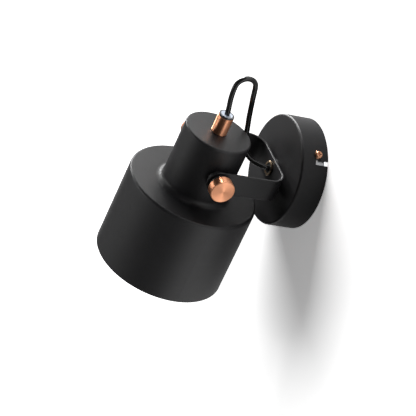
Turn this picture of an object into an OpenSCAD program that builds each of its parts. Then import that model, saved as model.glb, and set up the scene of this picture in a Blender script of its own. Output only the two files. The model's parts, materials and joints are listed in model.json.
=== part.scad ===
// Pivoting spotlight for a wall: a round canopy, a U bracket that swivels on it,
// and a stepped spun shade that tilts between two clamping knobs.
// The origin is on the wall behind the middle of the canopy.
// +Z is up, +Y goes into the wall and the room is on the -Y side.

/* [Pose] */
// Swivel of the bracket from hanging straight down
swivel = 54; // [-90:1:90]

/* [Canopy] */
// Outer diameter of the canopy
canopy_d = 101; // [94:1:130]
// How far the canopy stands out from the wall
canopy_depth = 26; // [25:0.5:40]
// Sheet thickness of the canopy
canopy_wall = 1.2; // [0.8:0.1:1.5]
// Rounding of the canopy's front edge
canopy_edge_r = 2; // [1.8:0.1:4]

/* [Mounting strap] */
// Width of the mounting strap
strap_w = 20; // [18:0.5:24]
// Thickness of the mounting strap
strap_t = 1.5; // [1:0.1:2]
// Outer bend radius at the strap's ends
strap_bend_r = 3; // [2.2:0.1:4]
// How far the strap's bent tabs stand out from the wall
tab_h = 15; // [13.5:0.5:20]
// Distance between the centres of the two wall screw slots
wall_slot_spacing = 62; // [58:1:66]
// End-to-end length of a wall screw slot
wall_slot_l = 14; // [8:0.5:18]
// Width of a wall screw slot
wall_slot_w = 4.5; // [4:0.1:5.5]
// Distance of the earth screw from the middle of the strap
earth_x = 17; // [16:0.5:18]
// Diameter of the side screws and the earth screw
screw_d = 4; // [3:0.5:4.5]
// Diameter of the heads of the side screws and the earth screw
screw_head_d = 7.2; // [6.5:0.1:8]
// Height of those heads
screw_head_h = 2.4; // [1.8:0.1:3]
// Distance of the side screws from the wall
side_screw_out = 10.2; // [9:0.2:11]
// How far the way in of the canopy's J slot lies below its screw
slot_drop = 7; // [6:0.5:7.5]

/* [Terminal block] */
// Distance between the two poles of the terminal block
pole_pitch = 10; // [9:0.5:11]
// Height of the terminal block above the strap
block_h = 12; // [11:0.5:12.5]
// Length of the terminal block along its wires
block_l = 17; // [15:0.5:20]

/* [Swivel joint] */
// Outer diameter of the hollow swivel tube
tube_d = 9.9; // [9.4:0.1:11]
// Bore of the hollow swivel tube
tube_bore = 6.9; // [6.5:0.1:7.4]
// Diameter of the swivel tube's flange
tube_flange_d = 13.5; // [12.8:0.1:16]
// Thickness of the swivel tube's flange
tube_flange_t = 1.2; // [0.8:0.1:2]
// Gap between the canopy and the bracket, filled by a spacer
bracket_gap = 3; // [2:0.1:5]
// Diameter of the spacer
spacer_d = 18; // [15:0.5:20]

/* [Bracket] */
// Width of the bracket's strip
bracket_w = 21.4; // [19:0.2:26]
// Thickness of the bracket's strip
bracket_t = 2; // [1.5:0.1:2.4]
// Width of the U between the outer faces of its arms
bracket_span = 74; // [72:1:90]
// Outer bend radius of the U
bracket_bend_r = 16; // [4:0.5:18]
// Edge break of the strip
bracket_chamfer = 0.4; // [0.2:0.1:0.5]
// Distance of the pivot axis from the wall
pivot_out = 94.5; // [92:0.5:120]

/* [Shade] */
// Diameter of the neck
neck_d = 61.6; // [58:0.2:62]
// Height of the neck's top above the pivot
neck_top = 28.9; // [27:0.1:40]
// Depth of the shoulder below the pivot
shoulder_drop = 30.9; // [29:0.1:34]
// Diameter of the skirt at the shoulder
shoulder_d = 120.5; // [90:0.1:121.5]
// Diameter of the skirt at its rim
rim_d = 121.5; // [92:0.1:124]
// Depth of the rim below the pivot
rim_drop = 116.5; // [80:0.5:130]
// Sheet thickness of the shade
shade_wall = 1; // [0.8:0.1:1.2]
// Rounding of the neck's top edge
neck_edge_r = 1.8; // [1.6:0.1:4]
// Rounding of the shoulder's edge
shoulder_edge_r = 2.4; // [1.8:0.1:5]
// Hollow fillet where the neck meets the shoulder
neck_fillet_r = 5; // [2:0.5:8]

/* [Tilt joint] */
// Diameter of a knob
knob_d = 22; // [18:0.5:26]
// Length of a knob
knob_l = 8.5; // [6:0.5:14]
// Edge break of a knob
knob_chamfer = 0.6; // [0.3:0.1:1]
// Gap between the bracket and the right knob, filled by a shoulder bush
knob_gap = 4.8; // [3:0.1:6]
// Gap between the bracket and the left knob, filled by a shorter shoulder bush
left_knob_gap = 1.2; // [1:0.1:6]
// Diameter of the threaded studs
stud_d = 5.9; // [5:0.1:6.5]
// Diameter of the sleeve of a shoulder bush
bush_sleeve_d = 8.2; // [7.8:0.1:9]
// Diameter of the head of a shoulder bush
bush_head_d = 17; // [14:0.5:18]
// Diameter of the saddle spacers between neck and arm
saddle_d = 16; // [12:0.5:18]
// Diameter of the threaded inserts inside the neck
insert_d = 12; // [10:0.5:14]
// Length of the threaded inserts
insert_l = 5; // [4:0.5:7]

/* [Cord grip] */
// Diameter of the cord grip
grip_d = 14.4; // [12.2:0.1:18]
// Height of the cord grip's barrel
grip_h = 17.2; // [12:0.2:24]
// Height of the pale ring on the cord grip
collet_h = 1.6; // [1:0.1:2.5]
// Diameter of the cable
cable_d = 4.8; // [4.2:0.1:4.9]
// Diameter of an insulated core
core_d = 1.9; // [1.6:0.1:2]

/* [Lamp holder] */
// Outer diameter of the lamp holder
holder_d = 39; // [37:0.5:42]
// Radius inside the screw shell
shell_r = 13.3; // [13:0.05:13.6]
// Sheet thickness of the screw shell
shell_wall = 0.5; // [0.3:0.1:0.7]
// Depth of the holder's mouth below the pivot
holder_drop = 33; // [31:0.5:40]

/* [Hidden] */

// Clearances between pieces
running = 0.05;
face_gap = 0.05;
loose = 0.15;
tab_gap = 0.25;

// Small fixed sizes
screw_l = 7;
cross_w = 0.9;
cross_l = 4;
cross_depth = 1.3;
nut_w = 14;
nut_h = 3;
washer_t = 1;
washer_d = 17;
tube_end = 1.8;
bush_l = 6;
bush_head_t = 0.7;
flange_rim = 2;
flange_seat = 0.9;
lug_t = 0.8;
lug_d = 8;
plate_t = 0.8;
pole_bore_r = 2.4;
barrel_wall = 0.8;
clamp_screw_d = 2.6;
drive_w = 0.6;
drive_depth = 1.2;
slot_play = 0.2;
lug_reach = 6;
core_pitch_r = 1.15;
block_head_d = 4.8;
tail_l = 3;
insert_bore_margin = 0.05;

// Canopy and what it carries
canopy_r = canopy_d / 2;
inner_r = canopy_r - canopy_wall;
tab_x = sqrt(pow(inner_r - tab_gap, 2) - pow(strap_w / 2, 2));
canopy_inside = canopy_depth - canopy_wall;

// The swivel stack, as distances from the wall
nut_back = canopy_inside - washer_t - nut_h;
tube_back = nut_back - tube_end;
strip_back = canopy_depth + bracket_gap;
strip_front = strip_back + bracket_t;
flange_front = strip_front + face_gap + tube_flange_t;
bush_head_r = tube_flange_d / 2 - flange_rim;
tail_back = tube_back - tail_l;

// The terminal block stands off the axis, so that the cores can bend into it
block_w = 2 * pole_pitch;
block_near = 4;
pole_mid_out = strap_t + block_h / 2;
pole_ends = [0.22, 0.78];
block_screw_drop = 7;
block_floor = 4;

// Places along the pivot axis
arm_outer = bracket_span / 2;
arm_inner = arm_outer - bracket_t;
neck_r = neck_d / 2;
neck_inner_r = neck_r - shade_wall;
insert_back = neck_inner_r - insert_l;
stud_start = insert_back + 0.5;
function gap_of(side) = side == 0 ? knob_gap : left_knob_gap;
function knob_back(side) = arm_outer + gap_of(side);
function stud_end(side) = knob_back(side) + knob_l * 0.6;

// Heights in the shade, above the pivot
neck_under = neck_top - shade_wall;
grip_top = neck_top + grip_h;
grip_nut_h = 2.8;
grip_wall = 1.5;
cap_top = neck_under - washer_t - grip_nut_h;
stub_low = cap_top - 6;
cap_rim = 2;
base_top = 5;
base_h = 8;
base_low = base_top - base_h;
contact_recess = 5.4;
plate_w = 6;
plate_in = 4.6;
plate_out = 3.5;
holder_r = holder_d / 2;
cap_wall = 1;
base_play = 0.2;
base_r = holder_r - cap_wall - base_play;
shell_low = 4;
plate_r = 11;
contact_head_d = 4.6;
live_turn = 30;
neutral_turn = 150;
earth_turn = 270;
core_foot = plate_r - contact_head_d / 2 - core_d / 2 - loose;
flex_low = 13;

// The free cable's route beside the bracket before it swivels: out of the swivel tube,
// round behind the neck and over in a loop, down into the cord grip
cable_route = [
    [0, -tube_back, 0], [0, -25, 0], [0, -flange_front - 0.5, 0], [-0.9, -36.4, 0], [-2.9, -40.7, 0.2],
    [-5.3, -45.3, 0.9], [-7.9, -50, 2.8], [-10.4, -54, 6.8], [-12.2, -57, 12.6], [-13, -59.2, 19.4],
    [-12.9, -61.2, 26.6], [-12, -63.6, 34], [-10.5, -66.5, 41.7], [-9, -69, 49], [-7.5, -71.5, 56.5],
    [-6, -74, 64], [-5, -75.9, 70.6], [-4.2, -77.9, 77.3], [-3.9, -79.9, 81.1], [-3.5, -83.2, 83.7],
    [-3.1, -87.7, 84.7], [-2.8, -91.8, 83.8], [-2.4, -95.3, 81.3], [-2, -97.3, 78],
    [-1.6, -97.9, 74.5], [-1, -97.8, 68], [-0.5, -97, 61.5], [-0.2, -95.5, 54.5],
    [0, -94.5, 48], [0, -94.5, 43]
];

// Local z is the distance out from the wall
module from_wall() {
    rotate([90, 0, 0]) children();
}

// Turns with the bracket
module on_bracket() {
    rotate([0, swivel, 0]) children();
}

// The pivot is the origin, x is the pivot axis and z the shade's axis
module at_pivot() {
    on_bracket() translate([0, -pivot_out, 0]) children();
}

// A bar with round ends along x, centred, cut as a flat outline
module slot_outline(length, width) {
    square([length - width, width], center = true);
    for (side = [-1, 1]) translate([side * (length - width) / 2, 0]) circle(d = width, $fn = 48);
}

// A solid of revolution's half outline with broken outer corners
module turned_outline(r, h, edge) {
    polygon([[0, 0], [r - edge, 0], [r, edge], [r, h - edge], [r - edge, h], [0, h]]);
}

module tube(r, bore, h) {
    difference() {
        cylinder(r = r, h = h, $fn = 96);
        translate([0, 0, -1]) cylinder(r = bore, h = h + 2, $fn = 96);
    }
}

module hex_nut(width, bore, h) {
    difference() {
        cylinder(d = width / cos(30), h = h, $fn = 6);
        translate([0, 0, -1]) cylinder(r = bore, h = h + 2, $fn = 64);
    }
}

// A pan head screw with a cross recess; its shank goes down from the origin
module pan_screw(d, length, head_d, head_h) {
    translate([0, 0, -length]) cylinder(d = d, h = length, $fn = 48);
    difference() {
        rotate_extrude($fn = 64) intersection() {
            square([head_d / 2, head_h]);
            union() {
                square([head_d / 2, head_h * 0.45]);
                translate([0, head_h * 0.45]) scale(head_d / 2) translate([0, -0.35])
                    circle(r = sqrt(1 + 0.35 * 0.35), $fn = 96);
            }
        }
        for (turn = [0, 90]) rotate([0, 0, turn])
            translate([-cross_l / 2, -cross_w / 2, head_h - cross_depth]) cube([cross_l, cross_w, head_h]);
    }
}

// Unit vector and cross product helpers for a tube that follows a route
function unit(v) = v / norm(v);
function tangent(p, i) =
    i == 0 ? unit(p[1] - p[0]) :
    i == len(p) - 1 ? unit(p[i] - p[i - 1]) :
    unit(unit(p[i + 1] - p[i]) + unit(p[i] - p[i - 1]));
// The frame is carried from ring to ring, so that the tube does not twist
function carried(p, i, previous) =
    let (t = tangent(p, i), side = previous - (previous * t) * t) unit(side);
function sides_along(p, first, i = 0, out = []) =
    i == len(p) ? out :
    sides_along(p, first, i + 1, concat(out, [carried(p, i, i == 0 ? first : out[i - 1])]));
function ring(p, i, side, r, count) =
    let (t = tangent(p, i), up = cross(t, side))
    [for (k = [0:count - 1]) p[i] + r * (cos(360 * k / count) * side + sin(360 * k / count) * up)];

// A closed tube of the given number of sides along the points p
module swept_tube(p, r, count, first = [0, 0, 1]) {
    sides = sides_along(p, first);
    last = (len(p) - 1) * count;
    points = [for (i = [0:len(p) - 1]) each ring(p, i, sides[i], r, count)];
    walls = [for (i = [0:len(p) - 2]) for (k = [0:count - 1])
        let (a = i * count + k, b = i * count + (k + 1) % count)
        each [[a, b + count, b], [a, a + count, b + count]]];
    caps = [for (k = [1:count - 2]) each [[0, k, k + 1], [last, last + k + 1, last + k]]];
    polyhedron(points, concat(walls, caps));
}

// Canopy

// Half outline of the cup, set in from its outside by the sheet thickness
module cup_outline(inset) {
    r = canopy_r - inset;
    h = canopy_depth - inset;
    edge = canopy_edge_r - inset;
    square([r - edge, h]);
    square([r, h - edge]);
    translate([r - edge, h - edge]) circle(r = edge, $fn = 64);
}

// The J slot for a side screw: in from the rear edge, then up to the screw
module j_slot() {
    width = screw_d + slot_play;
    top = side_screw_out + width / 2;
    cut = slot_drop + 2 * canopy_wall;
    translate([inner_r - slot_drop, -slot_drop, 0]) {
        translate([0, -width / 2, -1]) cube([cut, width, top + 1]);
        translate([0, 0, top - width]) cube([cut, slot_drop, width]);
    }
    translate([inner_r - slot_drop, 0, side_screw_out]) rotate([0, 90, 0])
        cylinder(d = width, h = cut, $fn = 48);
}

module canopy() {
    color([0.06, 0.06, 0.065]) from_wall() difference() {
        rotate_extrude($fn = 180) intersection() {
            difference() {
                cup_outline(0);
                translate([0, -1]) square([inner_r, 2]);
                cup_outline(canopy_wall);
            }
            square([canopy_d, canopy_depth * 2]);
        }
        cylinder(r = tube_d / 2 + loose, h = canopy_depth * 2, $fn = 64);
        for (turn = [0, 180]) rotate([0, 0, turn]) j_slot();
    }
}

// Flat outline of a strip bent into a U; x across, y from the back of its web
module u_outline(width, height, bend_r, t) {
    difference() {
        rounded_u(width, height, bend_r);
        translate([0, t]) rounded_u(width - 2 * t, height, bend_r - t);
    }
}

module rounded_u(width, height, bend_r) {
    translate([-width / 2, bend_r]) square([width, height - bend_r]);
    translate([-width / 2 + bend_r, 0]) square([width - 2 * bend_r, height]);
    for (side = [-1, 1]) translate([side * (width / 2 - bend_r), bend_r]) circle(r = bend_r, $fn = 64);
}

module mounting_strap() {
    color([0.75, 0.76, 0.78]) difference() {
        translate([0, 0, -strap_w / 2]) linear_extrude(strap_w) mirror([0, 1])
            intersection() {
                u_outline(2 * tab_x, tab_h + 5, strap_bend_r, strap_t);
                translate([-tab_x, 0]) square([2 * tab_x, tab_h]);
            }
        from_wall() {
            for (side = [-1, 1]) translate([side * wall_slot_spacing / 2, 0, -1])
                linear_extrude(strap_t + 2) slot_outline(wall_slot_l, wall_slot_w);
            translate([earth_x, 0, -1]) cylinder(d = screw_d + 2 * running, h = strap_t + 2, $fn = 48);
            translate([0, -block_screw_drop, -1])
                cylinder(d = clamp_screw_d + 2 * running, h = strap_t + 2, $fn = 48);
        }
        translate([-canopy_d / 2, -side_screw_out, 0]) rotate([0, 90, 0])
            cylinder(d = screw_d + 2 * running, h = canopy_d, $fn = 48);
    }
}

module side_screws() {
    color([0.82, 0.5, 0.36]) from_wall() for (turn = [0, 180]) rotate([0, 0, turn])
        translate([canopy_r + face_gap, 0, side_screw_out]) rotate([0, 90, 0])
            pan_screw(screw_d, screw_l, screw_head_d, screw_head_h);
}

module earth_lug() {
    barrel_r = 1.7;
    reach = lug_d / 2 + 4;
    color([0.8, 0.8, 0.82]) from_wall() translate([earth_x, 0, strap_t]) {
        tube(lug_d / 2, screw_d / 2 + loose, lug_t);
        difference() {
            translate([-1.5, lug_d / 2 - 0.6, 0]) cube([3, 3, lug_t]);
            cylinder(d = lug_d - 1, h = 5, $fn = 64, center = true);
        }
        translate([0, reach - 2, barrel_r]) rotate([-90, 0, 0]) cylinder(r = barrel_r, h = 4, $fn = 48);
    }
}

module earth_screw() {
    color([0.8, 0.66, 0.3]) from_wall() translate([earth_x, 0, strap_t + lug_t])
        pan_screw(screw_d, strap_t + lug_t - 0.1, screw_head_d, screw_head_h);
}

// Terminal block

module at_poles() {
    for (side = [-1, 1]) translate([side * pole_pitch / 2, -block_near, pole_mid_out]) children();
}

module terminal_block() {
    tower = 3;
    color([0.93, 0.93, 0.9]) from_wall() difference() {
        union() {
            translate([-block_w / 2, -block_near - block_l, strap_t])
                cube([block_w, block_l, block_h - tower]);
            at_poles() for (end = pole_ends) translate([0, -block_l * end, 0])
                cylinder(d = pole_pitch - 2.6, h = block_h / 2, $fn = 48);
        }
        at_poles() {
            rotate([90, 0, 0]) translate([0, 0, -1]) cylinder(r = pole_bore_r, h = block_l + 2, $fn = 48);
            for (end = pole_ends) translate([0, -block_l * end, 0])
                cylinder(d = clamp_screw_d + 0.8, h = block_h, $fn = 32);
        }
        translate([0, -block_screw_drop, 0]) {
            cylinder(d = clamp_screw_d + 2 * running, h = block_h + 5, $fn = 32);
            translate([0, 0, strap_t + block_floor]) cylinder(d = block_head_d + 0.4, h = block_h, $fn = 32);
        }
    }
}

module terminal_barrels() {
    inset = 2;
    color([0.85, 0.7, 0.35]) from_wall() at_poles() difference() {
        rotate([90, 0, 0]) translate([0, 0, inset])
            tube(pole_bore_r - running, pole_bore_r - barrel_wall, block_l - 2 * inset);
        for (end = pole_ends) translate([0, -block_l * end, 0])
            cylinder(d = clamp_screw_d + 2 * running, h = block_h, $fn = 32);
    }
}

module terminal_screws() {
    head = block_h / 2 - 0.6;
    color([0.8, 0.8, 0.8]) from_wall() at_poles() for (end = pole_ends)
        translate([0, -block_l * end, 0.4]) difference() {
            cylinder(d = clamp_screw_d, h = head - 0.4, $fn = 32);
            translate([-clamp_screw_d, -drive_w / 2, head - drive_depth])
                cube([2 * clamp_screw_d, drive_w, 2 * drive_depth]);
        }
}

module block_screw() {
    color([0.8, 0.8, 0.8]) from_wall() translate([0, -block_screw_drop, strap_t + block_floor])
        pan_screw(clamp_screw_d, block_floor + strap_t - 0.1, block_head_d, 1.6);
}

// Swivel joint

module swivel_tube() {
    color([0.55, 0.42, 0.28]) from_wall() translate([0, 0, tube_back])
    rotate_extrude($fn = 96) difference() {
        union() {
            square([tube_d / 2, flange_front - tube_back]);
            translate([0, flange_front - tube_back - tube_flange_t])
                turned_outline(tube_flange_d / 2, tube_flange_t, 0.25);
        }
        translate([0, -1]) square([tube_bore / 2, flange_front]);
        translate([0, flange_front - tube_back - flange_seat]) square([bush_head_r, flange_seat + 1]);
    }
}

module swivel_spacer() {
    color([0.08, 0.08, 0.08]) from_wall() translate([0, 0, canopy_depth])
        tube(spacer_d / 2, tube_d / 2 + running, bracket_gap - face_gap);
}

module swivel_washer() {
    color([0.75, 0.76, 0.78]) from_wall() translate([0, 0, canopy_inside - washer_t])
        tube(washer_d / 2, tube_d / 2 + running, washer_t);
}

module swivel_nut() {
    color([0.75, 0.76, 0.78]) from_wall() translate([0, 0, nut_back])
        hex_nut(nut_w, tube_d / 2 + running, nut_h);
}

module cable_bush() {
    shank = bush_l - flange_seat;
    color([0.05, 0.05, 0.05]) from_wall() translate([0, 0, flange_front - bush_l]) rotate_extrude($fn = 96)
        difference() {
            union() {
                square([tube_bore / 2 - running, shank + bush_head_t / 2]);
                translate([0, shank]) turned_outline(bush_head_r - running, bush_head_t, 0.2);
            }
            translate([0, -1]) square([cable_d / 2 + running, bush_l + 2]);
        }
}

// Cable and cores in the canopy

module cable_tail() {
    color([0.05, 0.05, 0.05]) from_wall() translate([0, 0, tail_back])
        cylinder(d = cable_d, h = tail_l, $fn = 48);
}

// A core's place in the sheath's end, by its turn round the axis
function core_at(turn, r = core_pitch_r) = [r * cos(turn), r * sin(turn)];

// A core from the sheath's end to a pole of the terminal block
module pole_core(side) {
    start = core_at(side > 0 ? -30 : 210);
    pole_x = side * pole_pitch / 2;
    route = [
        [start[0], start[1], tail_back], [start[0], start[1], tail_back - 1.2],
        [side * 2.2, 1.2, tail_back - 3.6], [side * 3.6, 2.6, tail_back - 5.8],
        [pole_x, 1.8, pole_mid_out + 0.6], [pole_x, 0, pole_mid_out],
        [pole_x, -block_near, pole_mid_out], [pole_x, -block_near - 1.9, pole_mid_out]
    ];
    from_wall() swept_tube(route, core_d / 2, 8, [1, 0, 0]);
}

module live_core() {
    color([0.35, 0.18, 0.08]) pole_core(-1);
}

module neutral_core() {
    color([0.12, 0.25, 0.6]) pole_core(1);
}

module earth_core() {
    start = core_at(90);
    lug_y = lug_d / 2 + lug_reach;
    route = [
        [start[0], start[1], tail_back], [start[0], start[1], tail_back - 1],
        [1, 4.5, tail_back - 1.6], [4, 9.5, tail_back - 2.2], [8.5, 14.5, tail_back - 4],
        [13, 18, tail_back - 7], [earth_x - 0.5, 18.2, strap_t + 4],
        [earth_x, 15, strap_t + 1.7], [earth_x, lug_y, strap_t + 1.7]
    ];
    color([0.35, 0.6, 0.2]) from_wall() swept_tube(route, core_d / 2, 8, [1, 0, 0]);
}

// Bracket

// Cross-section of the bracket's strip: x is its thickness and y its width
module strip_section() {
    c = bracket_chamfer;
    x = bracket_t / 2;
    y = bracket_w / 2;
    polygon([[-x, -y + c], [-x + c, -y], [x - c, -y], [x, -y + c],
        [x, y - c], [x - c, y], [-x + c, y], [-x, y - c]]);
}

module bracket_strip() {
    mid_r = bracket_bend_r - bracket_t / 2;
    bend_x = arm_outer - bracket_bend_r;
    bend_out = strip_back + bracket_bend_r;
    translate([-bend_x, -(strip_back + strip_front) / 2, 0]) rotate([0, 90, 0])
        linear_extrude(2 * bend_x) rotate(90) strip_section();
    for (side = [0, 1]) mirror([side, 0, 0]) {
        translate([bend_x, -bend_out, 0]) rotate_extrude(angle = 90, $fn = 96)
            translate([mid_r, 0]) strip_section();
        translate([arm_outer - bracket_t / 2, -bend_out, 0]) rotate([90, 0, 0])
            linear_extrude(pivot_out - bend_out) strip_section();
        translate([arm_inner, -pivot_out, 0]) rotate([0, 90, 0]) rotate_extrude($fn = 96)
            turned_outline(bracket_w / 2, bracket_t, bracket_chamfer);
    }
}

module bracket() {
    color([0.06, 0.06, 0.065]) on_bracket() difference() {
        bracket_strip();
        from_wall() cylinder(r = tube_d / 2 + running, h = strip_front + 5, $fn = 64);
        translate([0, -pivot_out, 0]) rotate([0, 90, 0])
            cylinder(d = bush_sleeve_d + 2 * running, h = bracket_span * 2, $fn = 64, center = true);
    }
}

// Puts children on the right and left pivot, with local z pointing outwards along the axis
// Local z runs out along the pivot axis, to the right (side 0) or to the left (side 1)
module along_pivot(side) {
    at_pivot() mirror([side, 0, 0]) rotate([0, 90, 0]) children();
}

module on_both_sides() {
    for (side = [0, 1]) along_pivot(side) children();
}

module shoulder_bushes() {
    color([0.04, 0.04, 0.04]) for (side = [0, 1]) along_pivot(side) difference() {
        head = gap_of(side) - face_gap;
        union() {
            translate([0, 0, arm_inner]) cylinder(d = bush_sleeve_d, h = bracket_t, $fn = 64);
            translate([0, 0, arm_outer]) rotate_extrude($fn = 96)
                turned_outline(bush_head_d / 2, head, min(0.5, head / 4));
        }
        cylinder(r = stud_d / 2 + running, h = knob_back(side) + 5, $fn = 64);
    }
}

module cable() {
    color([0.05, 0.05, 0.05]) on_bracket() swept_tube(cable_route, cable_d / 2, 10);
}

// Shade

// The stepped body turned solid, set in from its outside by the sheet thickness.
// The inner one runs out past the rim, so that it opens the mouth.
module stepped_body(inset, run_out = 0) {
    neck = neck_r - inset;
    top = neck_top - inset;
    edge = neck_edge_r - inset;
    shoulder = -shoulder_drop - inset;
    skirt_top = shoulder_d / 2 - inset;
    skirt_rim = rim_d / 2 - inset;
    bend = shoulder_edge_r - inset;
    fillet = neck_fillet_r + inset;
    foot = -rim_drop - run_out;
    lap = 1;
    rotate_extrude($fn = 240) {
        translate([0, shoulder - lap]) square([neck - edge, top - shoulder + lap]);
        translate([0, shoulder - lap]) square([neck, top - edge - shoulder + lap]);
        translate([neck - edge, top - edge]) circle(r = edge, $fn = 64);
    }
    rotate_extrude($fn = 240) difference() {
        translate([0, shoulder - lap]) square([neck + fillet, fillet + lap]);
        translate([neck + fillet, shoulder + fillet]) circle(r = fillet, $fn = 96);
    }
    rotate_extrude($fn = 240) {
        polygon([[0, shoulder], [skirt_top - bend, shoulder], [skirt_top - bend, shoulder - bend],
            [skirt_top, shoulder - bend], [skirt_rim, -rim_drop], [skirt_rim, foot], [0, foot]]);
        translate([skirt_top - bend, shoulder - bend]) circle(r = bend, $fn = 64);
    }
}

module shade() {
    color([0.06, 0.06, 0.065]) at_pivot() difference() {
        stepped_body(0);
        stepped_body(shade_wall, 1);
        cylinder(r = tube_d / 2 + loose, h = neck_top + 5, $fn = 64);
        rotate([0, 90, 0]) cylinder(r = stud_d / 2 + loose, h = neck_d + 10, $fn = 64, center = true);
    }
}

module saddle_spacers() {
    color([0.04, 0.04, 0.04]) at_pivot() difference() {
        for (side = [0, 1]) mirror([side, 0, 0]) rotate([0, 90, 0]) translate([0, 0, neck_r - 4])
            tube(saddle_d / 2, stud_d / 2 + loose, arm_inner - face_gap - neck_r + 4);
        cylinder(r = neck_r + 0.02, h = saddle_d * 2, $fn = 240, center = true);
    }
}

module neck_inserts() {
    color([0.75, 0.76, 0.78]) at_pivot() intersection() {
        for (side = [0, 1]) mirror([side, 0, 0]) rotate([0, 90, 0]) translate([0, 0, insert_back])
            tube(insert_d / 2, stud_d / 2 + insert_bore_margin, insert_l + 2);
        cylinder(r = neck_inner_r - 0.02, h = insert_d * 2, $fn = 240, center = true);
    }
}

// Cord grip on the neck

module cord_grip() {
    stub_bore = cable_d / 2 + loose;
    seat = 7;
    color([0.82, 0.5, 0.36]) at_pivot() difference() {
        union() {
            translate([0, 0, neck_top]) rotate_extrude($fn = 96) turned_outline(grip_d / 2, grip_h, 0.4);
            translate([0, 0, stub_low]) cylinder(d = tube_d, h = neck_top - stub_low + 1, $fn = 96);
        }
        translate([0, 0, stub_low - 1]) cylinder(r = stub_bore, h = grip_h * 3, $fn = 48);
        translate([0, 0, grip_top - seat])
            cylinder(r = grip_d / 2 - grip_wall + running, h = seat + 1, $fn = 64);
    }
}

module grip_collet() {
    sleeve = 6.9;
    color([0.85, 0.87, 0.9]) at_pivot() difference() {
        union() {
            translate([0, 0, grip_top - sleeve])
                cylinder(r = grip_d / 2 - grip_wall, h = sleeve + 0.5, $fn = 64);
            translate([0, 0, grip_top]) rotate_extrude($fn = 96) turned_outline(grip_d / 2, collet_h, 0.3);
        }
        translate([0, 0, grip_top - sleeve - 1])
            cylinder(r = cable_d / 2 + running, h = sleeve * 2 + 5, $fn = 48);
    }
}

module grip_washer() {
    color([0.75, 0.76, 0.78]) at_pivot() translate([0, 0, neck_under - washer_t])
        tube(washer_d / 2, tube_d / 2 + running, washer_t);
}

module grip_nut() {
    color([0.75, 0.76, 0.78]) at_pivot() translate([0, 0, cap_top])
        hex_nut(nut_w, tube_d / 2 + running, grip_nut_h);
}

module shade_cable() {
    color([0.05, 0.05, 0.05]) at_pivot() translate([0, 0, flex_low])
        cylinder(d = cable_d, h = pivot_cable_end() - flex_low, $fn = 48);
}

// Height above the pivot at which the free cable stops inside the collet
function pivot_cable_end() = cable_route[len(cable_route) - 1][2];

// Lamp holder

module holder_cap() {
    boss_r = 8;
    boss_h = 5;
    slope = 6;
    boss_foot = cap_top - boss_h;
    slope_foot = boss_foot - slope;
    inside_r = holder_r - cap_wall;
    color([0.07, 0.07, 0.07]) at_pivot() rotate_extrude($fn = 120) difference() {
        union() {
            translate([0, cap_rim]) square([holder_r, slope_foot - cap_rim]);
            polygon([[0, slope_foot], [holder_r, slope_foot], [holder_r - 3, slope_foot + 4],
                [boss_r, boss_foot], [0, boss_foot]]);
            translate([0, boss_foot]) square([boss_r, boss_h]);
        }
        translate([0, cap_rim - 1]) square([inside_r, slope_foot - cap_rim + 1]);
        polygon([[0, slope_foot - 0.01], [inside_r, slope_foot - 0.01], [inside_r - 3, slope_foot + 3],
            [boss_r - cap_wall, boss_foot - 1.4], [0, boss_foot - 1.4]]);
        square([tube_d / 2 + running, cap_top + 5]);
    }
}

// The three terminals stand round the base, a third of a turn apart
module at_contacts() {
    for (turn = [live_turn, neutral_turn, earth_turn]) rotate([0, 0, turn])
        translate([plate_r, 0, base_top]) children();
}

module contact_base() {
    color([0.9, 0.88, 0.83]) at_pivot() difference() {
        translate([0, 0, base_low]) rotate_extrude($fn = 96) turned_outline(base_r, base_h, 0.4);
        at_contacts() translate([0, 0, -5]) cylinder(d = clamp_screw_d + 2 * running, h = 10, $fn = 32);
        translate([0, 0, base_low - 1]) cylinder(r = shell_r - 5, h = contact_recess + 1, $fn = 64);
    }
}

module contact_plates() {
    color([0.85, 0.7, 0.35]) at_pivot() at_contacts() difference() {
        translate([-plate_in, -plate_w / 2, 0]) cube([plate_in + plate_out, plate_w, plate_t]);
        translate([0, 0, -1]) cylinder(d = clamp_screw_d + 0.2, h = plate_t + 2, $fn = 32);
    }
}

module contact_screws() {
    color([0.8, 0.8, 0.8]) at_pivot() at_contacts() translate([0, 0, plate_t])
        pan_screw(clamp_screw_d, 4, contact_head_d, 1.8);
}

module centre_contact() {
    leaf = 0.4;
    color([0.85, 0.7, 0.35]) at_pivot() rotate([90, 0, 0])
        translate([0, base_low + contact_recess, -3]) linear_extrude(6)
        polygon([[-7, 0], [-7, -leaf], [-4.4, -leaf], [-1.3, -4.5 - leaf], [2.2, -4.5 - leaf], [3.9, -3.5],
            [3.5, -3.2], [2, -4.5], [-1, -4.5], [-4, 0]]);
}

module screw_shell() {
    color([0.85, 0.7, 0.35]) at_pivot() translate([0, 0, -holder_drop + shell_low])
        tube(shell_r + shell_wall, shell_r, base_low + holder_drop - shell_low);
}

module holder_skirt() {
    bore = shell_r + shell_wall + running;
    lip_h = 2.4;
    color([0.07, 0.07, 0.07]) at_pivot() rotate_extrude($fn = 120) difference() {
        union() {
            translate([0, -holder_drop]) square([holder_r, cap_rim - face_gap + holder_drop]);
            translate([0, -holder_drop]) turned_outline(holder_r + 1.5, lip_h, 0.5);
        }
        translate([0, -holder_drop - 1]) square([shell_r + loose, holder_drop * 2]);
        translate([0, -holder_drop + shell_low]) square([bore, holder_drop * 2]);
        translate([0, base_low]) square([base_r + running, holder_drop * 2]);
    }
}

// A core from the sheath's end in the shade down to its terminal plate
module shade_core(turn) {
    start = core_at(0);
    route = [
        [start[0], 0, flex_low], [start[0], 0, flex_low - 1.2], [2.6, 0, flex_low - 2.8],
        [4.9, 0, flex_low - 3.8], [6.8, 0, flex_low - 4.8], [core_foot, 0, base_top + plate_t + 1.2],
        [core_foot, 0, base_top + plate_t]
    ];
    at_pivot() rotate([0, 0, turn]) swept_tube(route, core_d / 2, 8, [0, 1, 0]);
}

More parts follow.
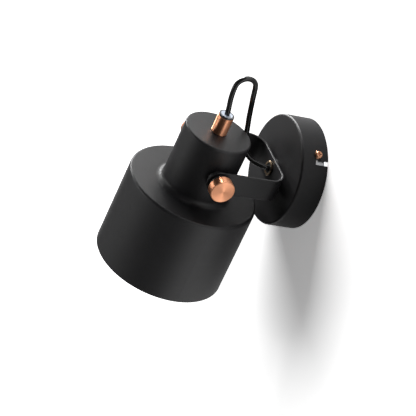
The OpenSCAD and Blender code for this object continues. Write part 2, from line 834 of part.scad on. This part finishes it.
module shade_live_core() {
    color([0.35, 0.18, 0.08]) shade_core(live_turn);
}

module shade_neutral_core() {
    color([0.12, 0.25, 0.6]) shade_core(neutral_turn);
}

module shade_earth_core() {
    color([0.35, 0.6, 0.2]) shade_core(earth_turn);
}

// Knobs and studs; side is 0 on the right and 1 on the left

module knob(side) {
    color([0.82, 0.5, 0.36]) along_pivot(side) difference() {
        translate([0, 0, knob_back(side)]) rotate_extrude($fn = 120)
            turned_outline(knob_d / 2, knob_l, knob_chamfer);
        cylinder(r = stud_d / 2 + 0.02, h = stud_end(side) + 0.02, $fn = 64);
    }
}

module stud(side) {
    color([0.75, 0.76, 0.78]) along_pivot(side)
        translate([0, 0, stud_start]) cylinder(d = stud_d, h = stud_end(side) - stud_start, $fn = 64);
}

module right_knob() {
    knob(0);
}

module right_stud() {
    stud(0);
}

module left_knob() {
    knob(1);
}

module left_stud() {
    stud(1);
}

canopy();
mounting_strap();
side_screws();
earth_screw();
earth_lug();
terminal_block();
terminal_barrels();
terminal_screws();
block_screw();
swivel_tube();
swivel_spacer();
swivel_washer();
swivel_nut();
cable_bush();
cable_tail();
live_core();
neutral_core();
earth_core();
bracket();
shoulder_bushes();
cable();
shade();
saddle_spacers();
neck_inserts();
cord_grip();
grip_collet();
grip_washer();
grip_nut();
shade_cable();
holder_cap();
contact_base();
contact_plates();
contact_screws();
centre_contact();
screw_shell();
holder_skirt();
shade_live_core();
shade_neutral_core();
shade_earth_core();
right_knob();
right_stud();
left_knob();
left_stud();
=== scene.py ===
import json
import math

import bmesh
import bpy
from mathutils import Matrix, Vector


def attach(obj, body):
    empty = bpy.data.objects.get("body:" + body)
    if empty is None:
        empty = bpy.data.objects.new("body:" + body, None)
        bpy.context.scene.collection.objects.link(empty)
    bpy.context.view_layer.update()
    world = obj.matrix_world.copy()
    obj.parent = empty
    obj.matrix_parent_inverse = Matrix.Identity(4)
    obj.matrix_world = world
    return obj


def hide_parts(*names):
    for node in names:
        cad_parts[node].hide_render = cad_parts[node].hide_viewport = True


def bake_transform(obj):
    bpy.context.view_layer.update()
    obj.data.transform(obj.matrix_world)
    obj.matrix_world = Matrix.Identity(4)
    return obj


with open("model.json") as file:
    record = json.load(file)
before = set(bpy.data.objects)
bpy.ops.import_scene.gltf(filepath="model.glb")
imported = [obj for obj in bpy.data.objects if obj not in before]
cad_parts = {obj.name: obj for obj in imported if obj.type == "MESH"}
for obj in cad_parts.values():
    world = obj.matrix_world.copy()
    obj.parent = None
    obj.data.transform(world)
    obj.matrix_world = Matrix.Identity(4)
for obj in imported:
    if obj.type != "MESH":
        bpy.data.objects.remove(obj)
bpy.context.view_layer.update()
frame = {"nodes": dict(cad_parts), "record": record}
nodes = frame["nodes"]

# The lamp frame is the part's frame turned about Y by the swivel: x along the pivot axis, z along
# the shade's axis, and the wall at y = 0. Sizes in it are in millimetres, as in the part's source;
# everything else is in metres.
MM = 0.001
SWIVEL = math.radians(54)
PIVOT_OUT = 94.5


def lamp(x, y, z):
    """A point of the lamp frame in mm as a point of the part's frame in metres."""
    c, s = math.cos(SWIVEL), math.sin(SWIVEL)
    return Vector((x * c + z * s, y, z * c - x * s)) * MM


PIVOT_AXIS = lamp(1, 0, 0).normalized()
SHADE_AXIS = lamp(0, 0, 1).normalized()


# Camera: place, axes and focal length from the fit to the photograph

SENSOR_MM = 36
FOCAL_PX = 1817.44
FRAME_PX = 416
CAMERA_AT = Vector((1.34065, -0.80382, -0.51935))
RIGHT = Vector((0.4661321, 0.8846839, -0.0074383))
DOWN = Vector((-0.2666884, 0.1324893, -0.9546328))
FORWARD = Vector((-0.8435627, 0.4469687, 0.2976925))
NEAREST, FARTHEST = 0.05, 20

camera = bpy.data.objects.new("camera", bpy.data.cameras.new("camera"))
bpy.context.scene.collection.objects.link(camera)
camera.data.sensor_width = SENSOR_MM
camera.data.lens = SENSOR_MM * FOCAL_PX / FRAME_PX
camera.data.clip_start = NEAREST
camera.data.clip_end = FARTHEST
axes = Matrix((RIGHT, -DOWN, -FORWARD)).transposed()
camera.matrix_world = Matrix.Translation(CAMERA_AT) @ axes.to_4x4()
bpy.context.scene.camera = camera


# Meshes

def new_object(name, bm, smooth=True):
    """A finished bmesh as an object of the scene."""
    mesh = bpy.data.meshes.new(name)
    bm.to_mesh(mesh)
    bm.free()
    for face in mesh.polygons:
        face.use_smooth = smooth
    obj = bpy.data.objects.new(name, mesh)
    bpy.context.scene.collection.objects.link(obj)
    return obj


def rounded_path(points, steps):
    """Catmull-Rom curve through the points, which keeps the route's own corners round."""
    out = []
    for i in range(len(points) - 1):
        a = points[max(i - 1, 0)]
        b, c = points[i], points[i + 1]
        d = points[min(i + 2, len(points) - 1)]
        for k in range(steps):
            t = k / steps
            out.append(0.5 * (2 * b + (c - a) * t + (2 * a - 5 * b + 4 * c - d) * t * t
                              + (3 * b - a - 3 * c + d) * t ** 3))
    out.append(points[-1].copy())
    return out


def lengths(path):
    """The length of a path up to each of its points."""
    along = [0.0]
    for a, b in zip(path, path[1:]):
        along.append(along[-1] + (b - a).length)
    return along


def tube_mesh(path, radius, sides):
    """A closed round tube along a path, with its turn and its length as UVs."""
    bm = bmesh.new()
    uv = bm.loops.layers.uv.new("UVMap")
    side = Vector((0, 0, 1))
    rings = []
    for i, p in enumerate(path):
        t = (path[min(i + 1, len(path) - 1)] - path[max(i - 1, 0)]).normalized()
        side = (side - side.dot(t) * t).normalized()
        up = t.cross(side)
        rings.append([bm.verts.new(p + radius * (math.cos(a) * side + math.sin(a) * up))
                      for a in (2 * math.pi * k / sides for k in range(sides))])
    rounds = [length / (2 * math.pi * radius) for length in lengths(path)]
    for i, (low, high) in enumerate(zip(rings, rings[1:])):
        for k in range(sides):
            after = (k + 1) % sides
            face = bm.faces.new((low[k], low[after], high[after], high[k]))
            corners = ((k, i), (k + 1, i), (k + 1, i + 1), (k, i + 1))
            for loop, (turn, ring) in zip(face.loops, corners):
                loop[uv].uv = (turn / sides, rounds[ring])
    bm.faces.new(rings[0][::-1])
    bm.faces.new(rings[-1])
    bmesh.ops.recalc_face_normals(bm, faces=bm.faces)
    return bm


# Cable: the route of the part's source, in mm in the lamp frame

CABLE_ROUTE = [
    (0, -19, 0), (0, -25, 0), (0, -32.75, 0), (-0.9, -36.4, 0), (-2.9, -40.7, 0.2),
    (-5.3, -45.3, 0.9), (-7.9, -50, 2.8), (-10.4, -54, 6.8), (-12.2, -57, 12.6),
    (-13, -59.2, 19.4), (-12.9, -61.2, 26.6), (-12, -63.6, 34), (-10.5, -66.5, 41.7),
    (-9, -69, 49), (-7.5, -71.5, 56.5), (-6, -74, 64), (-5, -75.9, 70.6), (-4.2, -77.9, 77.3),
    (-3.9, -79.9, 81.1), (-3.5, -83.2, 83.7), (-3.1, -87.7, 84.7), (-2.8, -91.8, 83.8),
    (-2.4, -95.3, 81.3), (-2, -97.3, 78), (-1.6, -97.9, 74.5), (-1, -97.8, 68),
    (-0.5, -97, 61.5), (-0.2, -95.5, 54.5), (0, -94.5, 48), (0, -94.5, 43),
]
CABLE_D = 4.8
CABLE_SIDES = 20
CABLE_STEPS = 5


def blend_by_length(tube, path, sides):
    """Lay the tube straight along z by the length of its path, bake its transform there, and put
    each point back where it was on the path."""
    on_path = [v.co.copy() for v in tube.data.vertices]
    along = lengths(path)
    for i, v in enumerate(tube.data.vertices):
        v.co = (0, 0, along[i // sides])
    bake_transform(tube)
    for v, co in zip(tube.data.vertices, on_path):
        v.co = co


cable_path = rounded_path([lamp(*p) for p in CABLE_ROUTE], CABLE_STEPS)
cable = new_object("flex", tube_mesh(cable_path, CABLE_D / 2 * MM, CABLE_SIDES))
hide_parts("cable")
blend_by_length(cable, cable_path, CABLE_SIDES)


# Lamp socket thread: the rolled thread of the screw shell, which the solid leaves plain

SHELL_R, SHELL_TOP, SHELL_FOOT = 13.3, -4.5, -28.0
THREAD_PITCH, THREAD_DEPTH = 3.63, 0.8
THREAD_GAP, THREAD_SHEET = 0.02, 0.3


def thread_mesh(radius, depth, pitch, top, foot, width=0.9, steps=72, fade_steps=12, across=8):
    """A rounded ridge that winds down the inside of a tube, in mm along the shade's axis. Its
    width is a share of the pitch, a turn has as many steps as given, and its ends fade out."""
    bm = bmesh.new()
    count = int((top - foot - pitch) / pitch * steps)
    rows = []
    for i in range(count + 1):
        angle = 2 * math.pi * i / steps
        z = top - pitch / 2 - pitch * i / steps
        fade = min(1.0, i / fade_steps, (count - i) / fade_steps)
        row = []
        for k in range(across + 1):
            w = k / across - 0.5
            r = radius - depth * fade * math.cos(math.pi * w) ** 2
            row.append(bm.verts.new(lamp(r * math.cos(angle), -PIVOT_OUT + r * math.sin(angle),
                                         z + w * pitch * width)))
        rows.append(row)
    for a, b in zip(rows, rows[1:]):
        for k in range(across):
            bm.faces.new((a[k], a[k + 1], b[k + 1], b[k]))
    bmesh.ops.recalc_face_normals(bm, faces=bm.faces)
    return bm


thread = new_object("shell_thread", thread_mesh(SHELL_R - THREAD_GAP, THREAD_DEPTH, THREAD_PITCH,
                                                SHELL_TOP, SHELL_FOOT))
thread.modifiers.new("sheet", "SOLIDIFY").thickness = THREAD_SHEET * MM
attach(thread, "shade")


# Shader nodes

UM = 0.000001                       # a micrometre, for the depth of a relief
NOISE_LOW, NOISE_HIGH = 0.3, 0.7    # nearly all of a noise's values lie between these
WHITE = (1, 1, 1, 1)


def material(name, color, roughness, metallic=0.0, specular=0.5):
    """A plain material, with its node tree and its shader."""
    mat = bpy.data.materials.new(name)
    mat.use_nodes = True
    shader = mat.node_tree.nodes["Principled BSDF"]
    shader.inputs["Base Color"].default_value = (*color, 1)
    shader.inputs["Metallic"].default_value = metallic
    shader.inputs["Roughness"].default_value = roughness
    shader.inputs["Specular IOR Level"].default_value = specular
    return mat, mat.node_tree, shader


def node(tree, kind, **values):
    """A node, with its inputs, or else its own settings, given by name."""
    made = tree.nodes.new(kind)
    for key, value in values.items():
        if key in made.inputs:
            made.inputs[key].default_value = value
        else:
            setattr(made, key, value)
    return made


def vector_math(tree, operation, first, second=None):
    """The second vector is an output of a node or a fixed one."""
    made = node(tree, "ShaderNodeVectorMath", operation=operation)
    tree.links.new(first, made.inputs[0])
    if isinstance(second, bpy.types.NodeSocket):
        tree.links.new(second, made.inputs[1])
    elif second is not None:
        made.inputs[1].default_value = second
    return made


def map_range(tree, value, start, end, low=0.0, high=1.0, **settings):
    """A value that goes from start to end, made to go from low to high."""
    ends = {"From Min": start, "From Max": end, "To Min": low, "To Max": high}
    made = node(tree, "ShaderNodeMapRange", **ends, **settings)
    tree.links.new(value, made.inputs["Value"])
    return made.outputs["Result"]


def mixed(tree, share, first, second):
    """The first shader at a share of 0, the second at 1."""
    made = tree.nodes.new("ShaderNodeMixShader")
    tree.links.new(share, made.inputs[0])
    tree.links.new(first.outputs[0], made.inputs[1])
    tree.links.new(second.outputs[0], made.inputs[2])
    return made


def place(tree, uv=False):
    """Where the shaded point is on the object, or in its UV map."""
    return tree.nodes.new("ShaderNodeTexCoord").outputs["UV" if uv else "Object"]


def noise(tree, where, scale, detail, rough=0.5, stretch=None):
    """A noise texture; a stretch packs it closer along each axis by its number."""
    if stretch:
        mapping = node(tree, "ShaderNodeMapping", Scale=stretch)
        tree.links.new(where, mapping.inputs["Vector"])
        where = mapping.outputs["Vector"]
    made = node(tree, "ShaderNodeTexNoise", Scale=scale, Detail=detail, Roughness=rough)
    tree.links.new(where, made.inputs["Vector"])
    return made.outputs["Fac"]


def tint(tree, shader, value, dark, light, low=NOISE_LOW, high=NOISE_HIGH):
    """Base colour: dark up to the low value, light from the high one."""
    ramp = tree.nodes.new("ShaderNodeValToRGB")
    first, last = ramp.color_ramp.elements
    first.position, first.color = low, (*dark, 1)
    last.position, last.color = high, (*light, 1)
    tree.links.new(value, ramp.inputs["Fac"])
    tree.links.new(ramp.outputs["Color"], shader.inputs["Base Color"])


def gloss(tree, shader, value, low, high):
    """Roughness that goes from low to high with a noise."""
    rough = map_range(tree, value, NOISE_LOW, NOISE_HIGH, low, high)
    tree.links.new(rough, shader.inputs["Roughness"])


def bump(tree, shader, heights):
    """heights: pairs of a height output and its depth in metres, coarse first."""
    last = None
    for value, depth in heights:
        made = node(tree, "ShaderNodeBump", Strength=1.0, Distance=depth)
        tree.links.new(value, made.inputs["Height"])
        if last:
            tree.links.new(last, made.inputs["Normal"])
        last = made.outputs["Normal"]
    tree.links.new(last, shader.inputs["Normal"])


def grain(tree, shader, where, low, high, depth, **kind):
    """A fine noise in both the roughness and the relief."""
    fine = noise(tree, where, **kind)
    gloss(tree, shader, fine, low, high)
    bump(tree, shader, [(fine, depth)])


def off_axis(tree, axis):
    """From an axis through the middle of the tilt joint, square to it, to the shaded point."""
    where = vector_math(tree, "SUBTRACT", place(tree), lamp(0, -PIVOT_OUT, 0)).outputs["Vector"]
    along = vector_math(tree, "PROJECT", where, axis).outputs["Vector"]
    return vector_math(tree, "SUBTRACT", where, along).outputs["Vector"]


# Kinds of surface: each takes its darkest and lightest colour and its lowest and highest roughness

MARKS = 0.95                        # how much the turning marks stretch the highlights
RING_EDGE, RING_BLUR = 5.5, 0.4     # mm: from the shade's axis, and to each side of that
STRIPE_FROM, STRIPE_FULL = 0.56, 0.6


def painted(name, dark, light, low, high, specular):
    """Powder coat: a fine orange peel over a slow unevenness."""
    mat, tree, shader = material(name, light, low, specular=specular)
    where = place(tree)
    fine = noise(tree, where, scale=2600, detail=2)
    peel = noise(tree, where, scale=520, detail=2)
    tint(tree, shader, noise(tree, where, scale=90, detail=3), dark, light)
    gloss(tree, shader, fine, low, high)
    bump(tree, shader, [(peel, 20 * UM), (fine, 12 * UM)])
    return mat


def plated(name, dark, light, low, high):
    """Plated or bare metal: slight tarnish, uneven gloss and a fine grain."""
    mat, tree, shader = material(name, light, low, metallic=1.0)
    where = place(tree)
    tint(tree, shader, noise(tree, where, scale=160, detail=4, rough=0.6), dark, light)
    grain(tree, shader, where, low, high, 4 * UM, scale=3200, detail=3, rough=0.6)
    return mat


def turned(name, dark, light, low, high, axis):
    """Plated metal with turning marks round an axis: the tangent lies along the axis on the
    sides and points outwards on the faces, square to the marks on both."""
    mat = plated(name, dark, light, low, high)
    tree = mat.node_tree
    shader = tree.nodes["Principled BSDF"]
    shader.inputs["Anisotropic"].default_value = MARKS
    outwards = vector_math(tree, "NORMALIZE", off_axis(tree, axis)).outputs["Vector"]
    both = vector_math(tree, "ADD", outwards, axis).outputs["Vector"]
    to_world = node(tree, "ShaderNodeVectorTransform", vector_type="VECTOR",
                    convert_from="OBJECT", convert_to="WORLD")
    tree.links.new(both, to_world.inputs["Vector"])
    tree.links.new(to_world.outputs["Vector"], shader.inputs["Tangent"])
    return mat


def ringed(name, rim, ring, low, high, edge, blur, axis):
    """Clear ring drawn opaque: pale and bluish round its bore, a painted sheen of the clear
    plastic, and dark at its edge, where it shows the dark metal round it.
    """
    mat, tree, shader = material(name, ring, low)
    out = vector_math(tree, "LENGTH", off_axis(tree, axis)).outputs["Value"]
    tint(tree, shader, map_range(tree, out, edge - blur, edge + blur), ring, rim)
    grain(tree, shader, place(tree), low, high, 10 * UM, scale=1800, detail=3)
    return mat


def moulded(name, dark, light, low, high, scale=1800):
    """Moulded plastic or fired clay: a faint flow pattern and a fine surface grain."""
    mat, tree, shader = material(name, light, low)
    where = place(tree)
    tint(tree, shader, noise(tree, where, scale=120, detail=3), dark, light)
    grain(tree, shader, where, low, high, 10 * UM, scale=scale, detail=3)
    return mat


def sheathed(name, dark, light, low, high):
    """Extruded sheath: fine lines along the cable, and a slow change of colour."""
    mat, tree, shader = material(name, light, low)
    where = place(tree, uv=True)
    tint(tree, shader, noise(tree, where, scale=3, detail=3), dark, light)
    grain(tree, shader, where, low, high, 20 * UM, scale=14, detail=3, rough=0.6,
          stretch=(5, 0.25, 1))
    return mat


def striped_core(name, ground, stripe, low, high):
    """Earth core: a stripe of the second colour winds along the first."""
    mat, tree, shader = material(name, ground, low)
    where = place(tree)
    wave = node(tree, "ShaderNodeTexWave", Scale=95.0, Distortion=2.0, Detail=1.0)
    tree.links.new(where, wave.inputs["Vector"])
    tint(tree, shader, wave.outputs["Fac"], ground, stripe, STRIPE_FROM, STRIPE_FULL)
    gloss(tree, shader, noise(tree, where, scale=1500, detail=2), low, high)
    return mat


# Looks: for each slot of the record its kind of surface and what that kind takes

LOOKS = {
    "black_paint": (painted, (0.006, 0.0058, 0.0068), (0.0085, 0.0081, 0.0094), 0.46, 0.54, 0.48),
    "black_metal": (painted, (0.016, 0.016, 0.016), (0.021, 0.021, 0.021), 0.28, 0.36, 0.5),
    "copper": (plated, (0.80, 0.40, 0.235), (0.88, 0.46, 0.28), 0.17, 0.24),
    "zinc_plate": (plated, (0.56, 0.57, 0.6), (0.68, 0.69, 0.7), 0.24, 0.36),
    "bronze": (plated, (0.30, 0.215, 0.14), (0.42, 0.31, 0.2), 0.22, 0.32),
    "brass": (plated, (0.70, 0.50, 0.22), (0.82, 0.62, 0.3), 0.2, 0.3),
    "black_plastic": (moulded, (0.012, 0.012, 0.012), (0.018, 0.018, 0.018), 0.42, 0.54),
    "white_plastic": (moulded, (0.74, 0.73, 0.69), (0.82, 0.81, 0.77), 0.38, 0.48),
    # The clear ring's pale bluish tone round its bore is a painted sheen
    "pale_plastic": (ringed, (0.03, 0.028, 0.028), (0.40, 0.45, 0.53), 0.1, 0.16,
                     RING_EDGE * MM, RING_BLUR * MM, SHADE_AXIS),
    "porcelain": (moulded, (0.78, 0.76, 0.70), (0.84, 0.82, 0.77), 0.3, 0.5, 2400),
    "cable_sheath": (sheathed, (0.006, 0.006, 0.006), (0.010, 0.010, 0.010), 0.14, 0.24),
    "brown_core": (moulded, (0.16, 0.06, 0.025), (0.21, 0.085, 0.04), 0.3, 0.38),
    "blue_core": (moulded, (0.03, 0.1, 0.4), (0.045, 0.13, 0.47), 0.3, 0.38),
    "earth_core": (striped_core, (0.07, 0.30, 0.05), (0.75, 0.62, 0.06), 0.3, 0.38),
}
TURNED_COPPER = ((0.84, 0.38, 0.21), (0.93, 0.435, 0.25), 0.38, 0.44)

looks = {slot: kind(slot, *values) for slot, (kind, *values) in LOOKS.items()}
turned_looks = {
    "cord_grip": turned("copper_grip", *TURNED_COPPER, SHADE_AXIS),
    "right_knob": turned("copper_knobs", *TURNED_COPPER, PIVOT_AXIS),
}
turned_looks["left_knob"] = turned_looks["right_knob"]

for part in frame["record"]["subparts"]:
    mesh = nodes[part["node"]].data
    mesh.materials.clear()
    mesh.materials.append(turned_looks.get(part["node"], looks[part["material_slot"]]))
for piece, slot in ((cable, "cable_sheath"), (thread, "brass")):
    piece.data.materials.append(looks[slot])


# Stage: a white wall with a hole behind the canopy, so that the back can be seen and lit

WALL_HOLE_R, WALL_HALF = 0.0499, 3.0


def wall_mesh(hole, half, sides=96):
    """A square with a round hole in the plane of the wall, its front to the room."""
    bm = bmesh.new()
    inner, outer = [], []
    for k in range(sides):
        angle = 2 * math.pi * (k + 0.5) / sides
        x, z = math.cos(angle), math.sin(angle)
        reach = half / max(abs(x), abs(z))
        inner.append(bm.verts.new((x * hole, 0, z * hole)))
        outer.append(bm.verts.new((x * reach, 0, z * reach)))
    for k in range(sides):
        after = (k + 1) % sides
        bm.faces.new((inner[k], outer[k], outer[after], inner[after]))
    bmesh.ops.recalc_face_normals(bm, faces=bm.faces)
    bm.normal_update()
    if sum(f.normal.y for f in bm.faces) > 0:
        bmesh.ops.reverse_faces(bm, faces=bm.faces)
    return bm


def white_with_painted_glow(tree, white, near, far, low, high):
    """A diffuse white that also glows, and glows more with the distance from the middle of the
    canopy: low up to near, high from far. The weaker glow near the canopy is painted shade round
    the object, and the stronger glow farther out is painted light."""
    paint = node(tree, "ShaderNodeBsdfDiffuse", Color=(white, white, white, 1))
    away = vector_math(tree, "LENGTH", place(tree)).outputs["Value"]
    level = map_range(tree, away, near, far, low, high, interpolation_type="SMOOTHSTEP")
    glow = node(tree, "ShaderNodeEmission", Color=WHITE)
    tree.links.new(level, glow.inputs["Strength"])
    both = tree.nodes.new("ShaderNodeAddShader")
    tree.links.new(paint.outputs[0], both.inputs[0])
    tree.links.new(glow.outputs[0], both.inputs[1])
    return both


def wall_material():
    """White to the camera, with the object's cast shadow near it, deepened there by painted shade
    where the glow is weak and washed out farther off by painted light; white too in reflections,
    but dimmer near the object, a painted shade, and brighter farther out, a painted light; open to
    the camera from behind."""
    mat = bpy.data.materials.new("wall")
    mat.use_nodes = True
    tree = mat.node_tree
    tree.nodes.clear()
    to_camera = tree.nodes.new("ShaderNodeLightPath").outputs["Is Camera Ray"]
    # In reflections: a weak glow near the canopy is painted shade, a strong one farther out is
    # painted light that the object's metal and paint reflect
    reflected = white_with_painted_glow(tree, white=1.05, near=0.12, far=0.24, low=0.12, high=1.15)
    # To the camera: a weaker glow near the canopy deepens the object's shadow as painted shade,
    # and a stronger one farther out washes the shadow away as painted light
    seen = white_with_painted_glow(tree, white=2.7, near=0.1, far=0.36, low=0.235, high=1.0)
    back = tree.nodes.new("ShaderNodeNewGeometry").outputs["Backfacing"]
    from_behind = node(tree, "ShaderNodeMath", operation="MULTIPLY")
    tree.links.new(back, from_behind.inputs[0])
    tree.links.new(to_camera, from_behind.inputs[1])
    clear = tree.nodes.new("ShaderNodeBsdfTransparent")
    surface = mixed(tree, from_behind.outputs[0], mixed(tree, to_camera, reflected, seen), clear)
    out = tree.nodes.new("ShaderNodeOutputMaterial")
    tree.links.new(surface.outputs[0], out.inputs["Surface"])
    return mat


wall = new_object("wall", wall_mesh(WALL_HOLE_R, WALL_HALF), smooth=False)
wall.data.materials.append(wall_material())


# Light: a soft box above, near the wall, whose shadow the wall shows and which leaves the shade
# out; four that leave the wall out, a wide one and a tall key light on the left, one high up on
# the left and one that shines into the shade; a weak one below, and one behind for the back views

DIM_ROOM = 0.05

# Points that the lamps are aimed at
BY_WALL = (0, -0.05, 0)
MIDDLE = (0, -0.08, 0)
IN_SHADE = (-0.05, -0.09, -0.03)
CANOPY_BACK = (0, 0, 0)


def all_but(thing):
    """A collection for light linking: everything is lit but one thing."""
    unlit = bpy.data.collections.new("all_but_" + thing.name)
    unlit.objects.link(thing)
    unlit.collection_objects[0].light_linking.link_state = "EXCLUDE"
    return unlit


def area_light(name, at, look_at, size, watts, lit=None):
    """A rectangular lamp that lights everything, or what the collection for it says."""
    light = bpy.data.lights.new(name, "AREA")
    light.shape = "RECTANGLE"
    light.size, light.size_y = size
    light.energy = watts
    obj = bpy.data.objects.new(name, light)
    bpy.context.scene.collection.objects.link(obj)
    obj.location = at
    obj.rotation_euler = (Vector(look_at) - Vector(at)).to_track_quat("-Z", "Y").to_euler()
    obj.light_linking.receiver_collection = lit


def room():
    """A world that is white to the camera and gives hardly any light."""
    world = bpy.data.worlds.new("room")
    world.use_nodes = True
    tree = world.node_tree
    tree.nodes.clear()
    to_camera = tree.nodes.new("ShaderNodeLightPath").outputs["Is Camera Ray"]
    dim = node(tree, "ShaderNodeBackground", Color=WHITE, Strength=DIM_ROOM)
    white = node(tree, "ShaderNodeBackground", Color=WHITE, Strength=1.0)
    out = tree.nodes.new("ShaderNodeOutputWorld")
    tree.links.new(mixed(tree, to_camera, dim, white).outputs[0], out.inputs["Surface"])
    return world


off_wall = all_but(wall)
off_shade = all_but(nodes["shade"])

area_light("top", (-0.02, -0.26, 1.3), BY_WALL, size=(1.15, 0.2), watts=32, lit=off_shade)
area_light("left", (-1.0, -1.22, -0.05), MIDDLE, size=(1.9, 2.1), watts=4.4, lit=off_wall)
area_light("key", (-0.42, -1.55, 0.4), MIDDLE, size=(0.26, 1.1), watts=7.5, lit=off_wall)
area_light("overhead", (-0.62, -0.2, 1.2), MIDDLE, size=(1.0, 0.3), watts=22, lit=off_wall)
area_light("below", (0.0, -0.45, -1.1), BY_WALL, size=(1.8, 0.9), watts=0.4)
area_light("inside", (-1.1, -0.45, -0.8), IN_SHADE, size=(0.6, 0.6), watts=2.5, lit=off_wall)
area_light("behind", (0.2, 0.9, 0.5), CANOPY_BACK, size=(0.6, 0.6), watts=6)

bpy.context.scene.world = room()
bpy.context.scene.view_settings.view_transform = "Standard"
